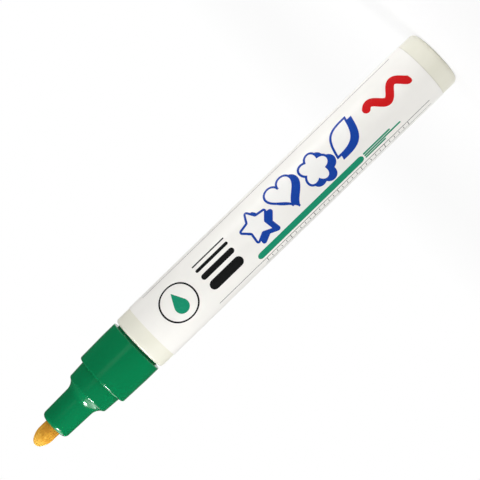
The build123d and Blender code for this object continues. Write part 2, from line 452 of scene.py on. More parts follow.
# The ivory carries a painted shadow line just behind the label's tail edge, in a darker tone.
IVORY = EdgeShadowedPlastic(
    name="ivory_plastic",
    tones=(srgb(235, 233, 217), srgb(240, 238, 224)),
    gloss=(0.32, 0.42),
    edge_shadow_tone=srgb(128, 124, 112),
    edge_shadow_at=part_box("label")[0].z,
)
GREEN = MouldedPlastic(
    name="green_plastic", tones=(srgb(0, 118, 70), srgb(0, 125, 75)), gloss=(0.13, 0.19), specular=0.3
)
VALVE_WHITE = MouldedPlastic(
    name="valve_plastic", tones=(srgb(228, 228, 222), srgb(238, 238, 234)), gloss=(0.45, 0.6)
)
FILM = PrintedFilm(name="label_white_film", tones=(srgb(247, 245, 240), srgb(250, 248, 243)))
WHITE_INK = PrintInk(name="ink_white", tones=(srgb(248, 247, 244), srgb(246, 245, 242)))
RED_INK = PrintInk(name="ink_red", tones=(srgb(208, 2, 8), srgb(214, 18, 24)))
BLUE_INK = PrintInk(name="ink_blue", tones=(srgb(0, 62, 164), srgb(10, 72, 174)))
GREEN_INK = PrintInk(name="ink_green", tones=(srgb(0, 144, 106), srgb(24, 152, 116)))
BLACK_INK = PrintInk(name="ink_black", tones=(srgb(8, 8, 9), srgb(18, 18, 19)))
GREY_INK = PrintInk(name="ink_grey", tones=(srgb(120, 122, 124), srgb(142, 144, 146)))
FELT = BondedFibre(
    name="nib_felt",
    tones=(srgb(200, 140, 50), srgb(224, 166, 61), srgb(240, 190, 84)),
    speck=srgb(178, 122, 46),
    tip_z=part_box("nib")[1].z,
    holder_end_z=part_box("front_holder")[1].z,
)
RUBBER = SealRubber(name="seal_black_rubber", tones=(srgb(32, 32, 33), srgb(52, 52, 52)))
SPRING_STEEL = BrightSteel(
    name="spring_drawn_steel",
    tones=(srgb(182, 182, 188), srgb(206, 206, 210)),
    gloss=(0.22, 0.36),
    grain=Grain(9000.0, 4.0, draw=(1.0, 1.0, 0.2), depth=0.004 * MM),
)
BALL_STEEL = BrightSteel(
    name="ball_ground_steel",
    tones=(srgb(196, 196, 201), srgb(214, 214, 218)),
    gloss=(0.12, 0.24),
    grain=Grain(5200.0, 4.0, draw=(1.0, 0.3, 1.0), depth=0.004 * MM),
)


def in_scene(name: str, data: bpy.types.ID) -> Piece:
    """Put data in the scene as a new object.

    Args:
        name: Name of the object.
        data: Its mesh, lamp or camera.

    Returns:
        The object.
    """
    thing = bpy.data.objects.new(name, data)
    bpy.context.scene.collection.objects.link(thing)
    return thing


def settle(piece: Piece, body: Body, stands_for: str = "") -> None:
    """Hand a finished piece to the frame and report it.

    Args:
        piece: Object at the origin, with its place in its mesh.
        body: Body that it moves with.
        stands_for: Node of the frame that the piece replaces, if any.
    """
    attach(piece, body.value)
    if stands_for:
        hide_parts(stands_for)
    LOG.info("%s: %d faces on %s", piece.name, len(piece.data.polygons), body.value)


def dress_nodes(finish: Finish, *names: str) -> None:
    """Give nodes of the frame a finish in place of their plain one, and report them.

    Args:
        finish: The finish.
        names: Names of the nodes.
    """
    for name in names:
        for material_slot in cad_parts[name].material_slots:
            material_slot.material = finish.material()
        LOG.info("%s: node dressed in %s", name, finish.name)


def mesh_piece(name: str, shape: bmesh.types.BMesh, finish: Finish) -> Piece:
    """Turn a finished mesh into an object with smooth walls and crisp edges.

    Args:
        name: Name of the piece.
        shape: Mesh to take over, which is freed.
        finish: Finish of the whole piece.

    Returns:
        The object, linked to the scene.
    """
    if shape.calc_volume(signed=True) < 0:
        bmesh.ops.reverse_faces(shape, faces=shape.faces)
    mesh = bpy.data.meshes.new(name)
    shape.to_mesh(mesh)
    shape.free()
    mesh.polygons.foreach_set("use_smooth", [True] * len(mesh.polygons))
    mesh.set_sharp_from_angle(angle=SHARP_ANGLE)
    mesh.materials.append(finish.material())
    return in_scene(name, mesh)


@dataclass(frozen=True)
class Corner:
    """One corner of an outline, with the radius that rounds it."""

    x: float
    y: float
    rounding: float = 0.0


def arc_points(centre: Vector, start: Vector, end: Vector, steps: int) -> list[Point]:
    """Walk the shorter arc about a centre.

    Args:
        centre: Centre of the arc.
        start: First point of the arc.
        end: Last point of the arc.
        steps: Number of chords.

    Returns:
        The points, both ends included.
    """
    first = start - centre
    turn = first.angle_signed(end - centre)
    points = []
    for step in range(steps + 1):
        point = centre + Matrix.Rotation(-turn * step / steps, 2) @ first
        points.append((point.x, point.y))
    return points


def rounded_outline(corners: Sequence[Corner], steps: int = 8) -> list[Point]:
    """Draw an outline from corner to corner, with tangent arcs at the rounded ones.

    Args:
        corners: Corners in order. A closed outline's last corner goes on to its first; an open one's
            first and last are not rounded.
        steps: Chords in each rounding.

    Returns:
        The points.
    """
    points: list[Point] = []
    for index, corner in enumerate(corners):
        here = Vector((corner.x, corner.y))
        if corner.rounding == 0:
            points.append((here.x, here.y))
            continue
        before = corners[index - 1]
        after = corners[(index + 1) % len(corners)]
        back = (Vector((before.x, before.y)) - here).normalized()
        ahead = (Vector((after.x, after.y)) - here).normalized()
        half = back.angle(ahead) / 2
        reach = corner.rounding / math.tan(half)
        centre = here + (back + ahead).normalized() * corner.rounding / math.sin(half)
        points += arc_points(centre, here + back * reach, here + ahead * reach, steps)
    return points


def lathe(outline: Sequence[Point], segments: int, closed: bool) -> bmesh.types.BMesh:
    """Turn a half section about Z.

    Args:
        outline: Points of (radius, height); a radius of 0 makes a pole.
        segments: Columns round the axis.
        closed: Whether the last point joins the first, as on a tube.

    Returns:
        The closed mesh.
    """
    shape = bmesh.new()
    rings = []
    for radius, height in outline:
        count = segments if radius > 0 else 1
        turns = [FULL_TURN * step / segments for step in range(count)]
        rings.append([shape.verts.new((radius * math.cos(t), radius * math.sin(t), height)) for t in turns])
    pairs = list(zip(rings, rings[1:]))
    if closed:
        pairs.append((rings[-1], rings[0]))
    for lower, upper in pairs:
        for step in range(segments):
            following = (step + 1) % segments
            corners = [lower[step % len(lower)], lower[following % len(lower)]]
            corners += [upper[following % len(upper)], upper[step % len(upper)]]
            shape.faces.new(dict.fromkeys(corners))
    return shape


class NodeRecipe(NodeSheet):
    """A geometry node tree with named inputs, baked into a plain mesh."""

    def __init__(self, name: str) -> None:
        """Start a tree that gives one geometry.

        Args:
            name: Name of the tree and of the piece that it makes.
        """
        super().__init__(bpy.data.node_groups.new(name, "GeometryNodeTree"))
        self.name = name
        self.tree.interface.new_socket("Geometry", in_out="OUTPUT", socket_type="NodeSocketGeometry")
        self.way_in = self.tree.nodes.new("NodeGroupInput")
        self.way_out = self.tree.nodes.new("NodeGroupOutput")
        self.values: dict[str, object] = {}

    def size(self, name: str, value: float | int | Sequence[float]) -> Socket:
        """Add a named input and remember its value.

        Args:
            name: Name of the input.
            value: A whole number, a length or share, or a vector.

        Returns:
            The socket that gives the value inside the tree.
        """
        kinds = {int: "NodeSocketInt", float: "NodeSocketFloat"}
        kind = kinds.get(type(value), "NodeSocketVector")
        socket = self.tree.interface.new_socket(name, in_out="INPUT", socket_type=kind)
        self.values[socket.identifier] = value
        return self.way_in.outputs[name]

    def source(self) -> Socket:
        """Add the geometry that the modifier sits on as an input."""
        self.tree.interface.new_socket("Surface", in_out="INPUT", socket_type="NodeSocketGeometry")
        return self.way_in.outputs["Surface"]

    def shape(self, kind: str, **inputs: object) -> Socket:
        """Add a node that makes or changes geometry, and give its shape.

        Args:
            kind: Blender's name of the node type, without its leading GeometryNode.
            inputs: Values or output sockets, by input name with underscores for spaces.

        Returns:
            The node's geometry.
        """
        named = {name.replace("_", " "): value for name, value in inputs.items()}
        return self.add("GeometryNode" + kind, named).outputs[0]

    def place(self) -> tuple[Socket, ...]:
        """Give the X, Y and Z of each point."""
        return self.split(self.add("GeometryNodeInputPosition").outputs[0])

    def bake(
        self,
        shape: Socket,
        finish: Finish,
        surface: bpy.types.Mesh | None = None,
        bend: Socket | None = None,
    ) -> Piece:
        """Complete the tree, run it and keep the result as a plain mesh.

        Args:
            shape: Geometry to keep.
            finish: Finish of the piece.
            surface: Mesh that the tree works on, if it needs one.
            bend: New place of each point once instances are real, if they bend.

        Returns:
            The object, with no modifier left on it.
        """
        shape = self.shape("RealizeInstances", Geometry=shape)
        if bend is not None:
            shape = self.shape("SetPosition", Geometry=shape, Position=bend)
        dressed = self.shape("SetMaterial", Geometry=shape, Material=finish.material())
        self.tree.links.new(dressed, self.way_out.inputs[0])
        piece = in_scene(self.name, surface or bpy.data.meshes.new(self.name))
        modifier = piece.modifiers.new(self.name, "NODES")
        modifier.node_group = self.tree
        for identifier, value in self.values.items():
            modifier[identifier] = value
        ready = piece.evaluated_get(bpy.context.evaluated_depsgraph_get())
        mesh = bpy.data.meshes.new_from_object(ready)
        piece.modifiers.remove(modifier)
        piece.data = mesh
        mesh.name = self.name
        return piece


@dataclass
class Barrel:
    """The ivory tank: rounded and closed at the tail, open at the mouth."""

    reservoir_wall: float = 1.65 * MM
    mouth_wall: float = 0.95 * MM
    mouth_depth: float = 12.2 * MM
    tail_wall: float = 1.6 * MM
    tail_edge: float = 1.3 * MM
    mouth_edge: float = 0.7 * MM
    mouth_lead_in: float = 0.15 * MM
    floor_edge: float = 2.0 * MM
    recess_radius: float = 4.0 * MM
    recess_depth: float = 0.4 * MM
    recess_edge: float = 0.15 * MM
    gate_radius: float = 0.9 * MM
    gate_height: float = 0.22 * MM
    gate_edge: float = 0.12 * MM
    groove_depth_in_mouth: float = 4.2 * MM
    groove_radius: float = 0.28 * MM
    segments: int = 192

    def outline(self) -> list[Point]:
        """Draw the half section from the gate mark on the tail round to the reservoir's floor.

        Returns:
            Points of (radius, height).
        """
        low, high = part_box("barrel")
        skin = high.x
        bore = skin - self.mouth_wall
        tank = skin - self.reservoir_wall
        ledge = high.z - self.mouth_depth
        groove = high.z - self.groove_depth_in_mouth
        gate_face = low.z + self.recess_depth - self.gate_height
        recess_face = low.z + self.recess_depth
        floor = low.z + self.tail_wall
        rim = min(self.mouth_edge, self.mouth_wall - self.mouth_lead_in)
        corners = (
            Corner(0, gate_face),
            Corner(self.gate_radius, gate_face, self.gate_edge),
            Corner(self.gate_radius, recess_face),
            Corner(self.recess_radius, recess_face, self.recess_edge),
            Corner(self.recess_radius, low.z, self.recess_edge),
            Corner(skin, low.z, self.tail_edge),
            Corner(skin, high.z, rim),
            Corner(bore + self.mouth_lead_in, high.z),
            Corner(bore, high.z - self.mouth_lead_in),
            Corner(bore, groove + self.groove_radius),
            Corner(bore + self.groove_radius, groove, self.groove_radius / 2),
            Corner(bore, groove - self.groove_radius),
            Corner(bore, ledge),
            Corner(tank, ledge),
            Corner(tank, floor, self.floor_edge),
            Corner(0, floor),
        )
        return rounded_outline(corners)

    def build(self) -> None:
        """Turn the tank, dress it and put it in the frame."""
        tank = mesh_piece("barrel_tank", lathe(self.outline(), self.segments, closed=False), IVORY)
        settle(tank, Body.PEN, "barrel")


class Outline:
    """Closed outlines of print shapes about their own middle, as (along, round) points."""

    # The heart's rise is a sum of cosines of these heights; its width and lift are on their scale.
    HEART_WAVES = (13, -5, -2, -1)
    HEART_SPAN = 32
    HEART_LIFT = 2.5

    @staticmethod
    def polar(reach: Callable[[float], float], steps: int = 120) -> list[Point]:
        """Walk once round the middle, at a distance that follows the turn."""
        turns = [FULL_TURN * step / steps for step in range(steps)]
        return [(reach(turn) * math.cos(turn), reach(turn) * math.sin(turn)) for turn in turns]

    @staticmethod
    def star(
        radius: float, waist_share: float, rounding: float, tips: int = 5, steps: int = 4
    ) -> list[Point]:
        """Draw a star with soft tips.

        Args:
            radius: Distance of the sharp tips from the middle.
            waist_share: Distance of the inner corners as a share of the radius.
            rounding: Radius that softens every corner.
            tips: Number of tips.
            steps: Chords in each corner.

        Returns:
            The outline.
        """
        corners = []
        for step in range(2 * tips):
            reach = radius if step % 2 == 0 else radius * waist_share
            turn = QUARTER_TURN + math.pi * step / tips
            corners.append(Corner(reach * math.cos(turn), reach * math.sin(turn), rounding))
        return rounded_outline(corners, steps)

    @classmethod
    def heart(cls, width: float, steps: int = 96) -> list[Point]:
        """Draw a heart from a cubed sine across it and a sum of cosines along it.

        Args:
            width: Width of the heart.
            steps: Number of points.

        Returns:
            The outline.
        """
        points = []
        for step in range(steps):
            turn = -FULL_TURN * (step + 0.5) / steps
            rise = cls.HEART_LIFT
            for wave, height in enumerate(cls.HEART_WAVES, start=1):
                rise += height * math.cos(wave * turn)
            points.append((width / 2 * math.sin(turn) ** 3, width / cls.HEART_SPAN * rise))
        return points

    @staticmethod
    def flower(radius: float, petals: int, dip_share: float) -> list[Point]:
        """Draw a flower with round petals, which dip by a share of its radius."""
        dip = radius * dip_share
        return Outline.polar(lambda turn: radius - dip + dip * abs(math.cos(petals * turn / 2)))

    @staticmethod
    def leaf(length: float, width: float, lean: float, steps: int = 40) -> list[Point]:
        """Draw a leaf with two pointed ends.

        Args:
            length: Length from end to end.
            width: Greatest width.
            lean: Turn of the leaf from the reading direction.
            steps: Chords of each side.

        Returns:
            The outline.
        """
        shares = [step / steps for step in range(steps)]
        lower = [(length * (share - 0.5), -width / 2 * math.sin(math.pi * share)) for share in shares]
        upper = [(-along, -across) for along, across in lower]
        turn = Matrix.Rotation(lean, 2)
        return [tuple(turn @ Vector(point)) for point in lower + upper]

    @staticmethod
    def drop(radius: float, tip: float, steps: int = 40) -> list[Point]:
        """Draw a paint drop about the middle of its round end, its tip pointing round the label.

        Args:
            radius: Radius of the round end.
            tip: Distance of the tip from the middle.
            steps: Chords of the round end.

        Returns:
            The outline.
        """
        open_angle = math.acos(radius / tip)
        sweep = FULL_TURN - 2 * open_angle
        turns = [QUARTER_TURN + open_angle + sweep * step / steps for step in range(steps + 1)]
        return [(radius * math.cos(turn), radius * math.sin(turn)) for turn in turns] + [(0, tip)]

    @staticmethod
    def moved(outline: Sequence[Point], shift: Point) -> Face:
        """Move an outline along and round the label."""
        return [(along + shift[0], across + shift[1]) for along, across in outline]

    @staticmethod
    def grown(outline: Sequence[Point], distance: float, least_cosine: float = 0.6) -> Face:
        """Move an outline outwards, square to itself.

        Args:
            outline: Points, anticlockwise.
            distance: How far it grows; below 0 it shrinks.
            least_cosine: Cosine of half a corner's turn, past which its point goes no further out.

        Returns:
            As many points.
        """
        points = []
        for index, place in enumerate(outline):
            here = Vector(place)
            back = (here - Vector(outline[index - 1])).normalized()
            ahead = (Vector(outline[(index + 1) % len(outline)]) - here).normalized()
            way = (back + ahead).normalized()
            stretch = distance / max(way.dot(ahead), least_cosine)
            points.append((here.x + way.y * stretch, here.y - way.x * stretch))
        return points


class Stroke:
    """Drawn lines of print, as faces of (along, round) points."""

    @staticmethod
    def bar(start: float, end: float, across: float, width: float, steps: int = 8) -> Face:
        """Draw a straight bar with round ends along the label.

        Args:
            start: Middle of the first round end.
            end: Middle of the last round end.
            across: Place of the bar round the label.
            width: Width of the bar.
            steps: Chords in each round end.

        Returns:
            The bar as one face.
        """
        outline = []
        for middle, first in ((end, -QUARTER_TURN), (start, QUARTER_TURN)):
            turns = [first + math.pi * step / steps for step in range(steps + 1)]
            outline += [(middle + width / 2 * math.cos(t), across + width / 2 * math.sin(t)) for t in turns]
        return outline

    @staticmethod
    def along(line: Sequence[Point], width: float) -> list[Face]:
        """Draw a stroke with round ends along an open line.

        Args:
            line: Points that the stroke follows, close together.
            width: Width of the stroke.

        Returns:
            One face for each stretch of the line.
        """
        points = [Vector(point) for point in line]
        gone = [0.0]
        for before, after in zip(points, points[1:]):
            gone.append(gone[-1] + (after - before).length)
        sides = []
        for index, here in enumerate(points):
            way = (points[min(index + 1, len(points) - 1)] - points[max(index - 1, 0)]).normalized()
            short = max(0.0, width / 2 - min(gone[index], gone[-1] - gone[index]))
            half = math.sqrt(max((width / 2) ** 2 - short**2, 0.0))
            side = Vector((-way.y, way.x)) * half
            sides.append((tuple(here + side), tuple(here - side)))
        return [list(dict.fromkeys((b, d, c, a))) for (a, b), (c, d) in zip(sides, sides[1:])]

    @staticmethod
    def around(outline: Sequence[Point], width: float) -> list[Face]:
        """Draw a stroke along a closed outline, half of its width on each side.

        Args:
            outline: Points, anticlockwise.
            width: Width of the stroke.

        Returns:
            One face for each side of the outline.
        """
        inner = Outline.grown(outline, -width / 2)
        outer = Outline.grown(outline, width / 2)
        edges = list(zip(inner, outer))
        return [[a, b, d, c] for (a, b), (c, d) in zip(edges, edges[1:] + edges[:1])]


@dataclass
class Label:
    """The white film round the barrel and the print on it.

    Places on the film are (along, round): metres from its front edge towards the tail, and metres
    round it from the middle of the printed front, towards +X. A rule is (first end, last end, round).
    """

    seam_gap: float = 0.5 * MM
    film_thickness: float = 0.1 * MM
    film_corner: float = 0.6 * MM
    film_step: float = 0.25 * MM
    ink_step: float = 0.5 * MM
    ink_height: float = 0.01 * MM
    ink_root: float = 0.03 * MM
    weld_reach: float = 0.001 * MM
    cut_reach: float = 0.0001 * MM
    most_sides: int = 4
    line_width: float = 0.42 * MM
    badge_place: Point = (9.4 * MM, 0.4 * MM)
    badge_radius: float = 4.6 * MM
    drop_radius: float = 1.8 * MM
    drop_tip: float = 3.9 * MM
    sample_span: Point = (17.0 * MM, 27.0 * MM)
    sample_rows: tuple[Point, ...] = (
        (4.2 * MM, 0.35 * MM),
        (2.7 * MM, 0.8 * MM),
        (0.6 * MM, 1.4 * MM),
        (-2.4 * MM, 2.5 * MM),
    )
    doodle_start: float = 34.4 * MM
    doodle_pitch: float = 9.3 * MM
    doodle_round: float = 1.3 * MM
    doodle_hop: float = 0.5 * MM
    doodle_size: float = 7.8 * MM
    doodle_line: float = 0.55 * MM
    doodle_shade: Point = (1.0 * MM, -1.1 * MM)
    star_share: float = 0.56
    star_waist_share: float = 0.52
    star_rounding_share: float = 0.045
    flower_petals: int = 5
    flower_dip_share: float = 0.3
    leaf_shares: Point = (1.22, 0.62)
    leaf_lean: float = math.radians(38)
    stroke_round: float = -5.6 * MM
    stroke_width: float = 1.9 * MM
    stroke_span: Point = (30.5 * MM, 62.0 * MM)
    stroke_tails: tuple[float, ...] = (6.0 * MM, 11.0 * MM, 8.0 * MM)
    tail_width: float = 0.475 * MM
    tail_gap: float = 1.52 * MM
    squiggle_span: Point = (70.2 * MM, 83.2 * MM)
    squiggle_waves: float = 1.75
    squiggle_swing: float = 1.35 * MM
    squiggle_round: float = 1.6 * MM
    squiggle_width: float = 2.0 * MM
    squiggle_steps: int = 140
    rule_width: float = 0.16 * MM
    black_rules: tuple[Triple, ...] = ((16.0 * MM, 83.0 * MM, -7.4 * MM),)
    grey_rules: tuple[Triple, ...] = ((4.0 * MM, 83.0 * MM, 8.9 * MM), (30.0 * MM, 83.0 * MM, -9.2 * MM))
    tick_count: int = 31
    tick_group: int = 5
    tick_growth: float = 0.7
    tick_pitch: float = 1.5 * MM
    tick_start: float = 31.0 * MM
    tick_round: float = -8.3 * MM
    tick_size: Point = (0.9 * MM, 0.14 * MM)
    tick_columns: int = 5

    def __post_init__(self) -> None:
        """Take the film's place from the frame."""
        low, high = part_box("label")
        self.skin = high.x
        self.front = high.z
        self.length = high.z - low.z

    def wrapped(self, name: str, faces: Sequence[Face], depth: Point, step: float, finish: Finish) -> Piece:
        """Lay flat faces round the film as one thin closed piece.

        Args:
            name: Name of the piece.
            faces: Faces of (along, round) points.
            depth: Heights of the piece's under and upper side over the film's skin.
            step: Width of the strips that follow the curve.
            finish: Finish of the piece.

        Returns:
            The wrapped piece.
        """
        shape = bmesh.new()
        for face in faces:
            shape.faces.new([shape.verts.new((along, across, 0)) for along, across in face])
        bmesh.ops.remove_doubles(shape, verts=shape.verts, dist=self.weld_reach)
        bmesh.ops.triangulate(shape, faces=[f for f in shape.faces if len(f.verts) > self.most_sides])
        across = [vertex.co.y for vertex in shape.verts]
        for line in range(math.ceil(min(across) / step), math.floor(max(across) / step) + 1):
            parts = [*shape.verts, *shape.edges, *shape.faces]
            plane = {"plane_co": (0, line * step, 0), "plane_no": (0, 1, 0)}
            bmesh.ops.bisect_plane(shape, geom=parts, dist=self.cut_reach, **plane)
        raised = bmesh.ops.extrude_face_region(shape, geom=shape.faces[:])["geom"]
        tops = {item for item in raised if isinstance(item, bmesh.types.BMVert)}
        for vertex in shape.verts:
            radius = self.skin + (depth[1] if vertex in tops else depth[0])
            turn = vertex.co.y / self.skin
            vertex.co = (radius * math.sin(turn), -radius * math.cos(turn), self.front - vertex.co.x)
        bmesh.ops.recalc_face_normals(shape, faces=shape.faces)
        return mesh_piece(name, shape, finish)

    def film(self) -> None:
        """Wrap the film itself, with rounded corners at its seam."""
        half = (FULL_TURN * self.skin - self.seam_gap) / 2
        places = ((0, -half), (self.length, -half), (self.length, half), (0, half))
        outline = rounded_outline([Corner(*place, self.film_corner) for place in places])
        piece = self.wrapped("label_wrap", [outline], (-self.film_thickness, 0.0), self.film_step, FILM)
        settle(piece, Body.PEN, "label")

    def printed(self, name: str, faces: Sequence[Face], ink: PrintInk, coat: int = 1) -> None:
        """Print faces on the film as one piece of ink.

        Args:
            name: Name of the piece.
            faces: Faces of (along, round) points.
            ink: Finish of the ink.
            coat: Which coat it is; each one stands a little higher than the one under it.
        """
        piece = self.wrapped(name, faces, (-self.ink_root, coat * self.ink_height), self.ink_step, ink)
        settle(piece, Body.PEN)

    def badge(self) -> None:
        """Print the black ring and the green paint drop in it."""
        ring = Outline.moved(Outline.polar(lambda turn: self.badge_radius), self.badge_place)
        self.printed("print_badge_ring", Stroke.around(ring, self.line_width), BLACK_INK)
        sink = (self.drop_tip - self.drop_radius) / 2
        place = (self.badge_place[0], self.badge_place[1] - sink)
        drop = Outline.moved(Outline.drop(self.drop_radius, self.drop_tip), place)
        self.printed("print_badge_drop", [drop], GREEN_INK)

    def stroke_samples(self) -> None:
        """Print four black strokes, each heavier than the one before."""
        start, end = self.sample_span
        faces = [Stroke.bar(start + wide / 2, end - wide / 2, at, wide) for at, wide in self.sample_rows]
        self.printed("print_stroke_samples", faces, BLACK_INK)

    def doodles(self) -> None:
        """Print a star, a heart, a flower and a leaf: a blue shade, a white body and a blue line."""
        size = self.doodle_size
        shapes = (
            Outline.star(self.star_share * size, self.star_waist_share, self.star_rounding_share * size),
            Outline.heart(size),
            Outline.flower(size / 2, self.flower_petals, self.flower_dip_share),
            Outline.leaf(*(share * size for share in self.leaf_shares), self.leaf_lean),
        )
        shades = []
        bodies = []
        lines = []
        for step, shape in enumerate(shapes):
            hop = self.doodle_hop if step % 2 else -self.doodle_hop
            middle = (self.doodle_start + step * self.doodle_pitch, self.doodle_round + hop)
            body = Outline.moved(shape, middle)
            bodies.append(body)
            lines += Stroke.around(body, self.doodle_line)
            shades.append(Outline.moved(Outline.grown(body, self.doodle_line / 2), self.doodle_shade))
        self.printed("print_doodle_shades", shades, BLUE_INK)
        self.printed("print_doodle_bodies", bodies, WHITE_INK, coat=2)
        self.printed("print_doodle_lines", lines, BLUE_INK, coat=3)

    def brush_stroke(self) -> None:
        """Print a green painted stroke whose end breaks into tails."""
        faces = [Stroke.bar(*self.stroke_span, self.stroke_round, self.stroke_width)]
        first = self.stroke_span[1] + self.tail_gap
        rows = len(self.stroke_tails)
        for row, reach in enumerate(self.stroke_tails, start=-(rows // 2)):
            across = self.stroke_round + row * self.stroke_width / rows
            faces.append(Stroke.bar(first, first + reach, across, self.tail_width))
        self.printed("print_brush_stroke", faces, GREEN_INK)

    def squiggle(self) -> None:
        """Print a red painted wave."""
        start, end = self.squiggle_span
        line = []
        for step in range(self.squiggle_steps + 1):
            share = step / self.squiggle_steps
            swing = self.squiggle_swing * math.sin(FULL_TURN * self.squiggle_waves * share)
            line.append((start + (end - start) * share, self.squiggle_round + swing))
        self.printed("print_squiggle", Stroke.along(line, self.squiggle_width), RED_INK)

    def rules(self, name: str, rows: Sequence[Triple], ink: PrintInk) -> None:
        """Print fine rules along the label."""
        self.printed(name, [Stroke.bar(*row, self.rule_width) for row in rows], ink)

    def ticks(self) -> None:
        """Print a row of black ticks, the first of each group longer, bent round the film."""
        recipe = NodeRecipe("print_ticks")
        count = recipe.size("Count", self.tick_count)
        first = recipe.size("First Place", (0.0, self.tick_round, self.front - self.tick_start))
        pitch = recipe.size("Pitch", (0.0, 0.0, -self.tick_pitch))
        bulk = recipe.size("Tick Size", (self.ink_root + self.ink_height, *self.tick_size))
        columns = recipe.size("Tick Columns", self.tick_columns)
        group = recipe.size("Group", self.tick_group)
        growth = recipe.size("Growth", self.tick_growth)
        skin = recipe.size("Film Radius", self.skin + (self.ink_height - self.ink_root) / 2)
        row = recipe.shape("MeshLine", Count=count, Start_Location=first, Offset=pitch)
        tick = recipe.shape("MeshCube", Size=bulk, Vertices_Y=columns)
        rest = recipe.number("MODULO", recipe.add("GeometryNodeInputIndex").outputs[0], group)
        longer = recipe.number("MULTIPLY_ADD", recipe.number("LESS_THAN", rest, 1.0), growth, 1.0)
        scale = recipe.joined(1.0, longer, 1.0)
        ticks = recipe.shape("InstanceOnPoints", Points=row, Instance=tick, Scale=scale)
        x, y, z = recipe.place()
        turn = recipe.number("DIVIDE", y, skin)
        reach = recipe.number("ADD", x, skin)
        side = recipe.number("MULTIPLY", reach, recipe.number("SINE", turn))
        back = recipe.number("MULTIPLY", reach, recipe.number("COSINE", turn))
        bent = recipe.joined(side, recipe.number("MULTIPLY", back, -1.0), z)
        settle(recipe.bake(ticks, BLACK_INK, bend=bent), Body.PEN)

    def build(self) -> None:
        """Wrap the film and print it."""
        self.film()
        self.badge()
        self.stroke_samples()
        self.doodles()
        self.brush_stroke()
        self.squiggle()
        self.rules("print_rule_low", self.black_rules, BLACK_INK)
        self.rules("print_rules_grey", self.grey_rules, GREY_INK)
        self.ticks()


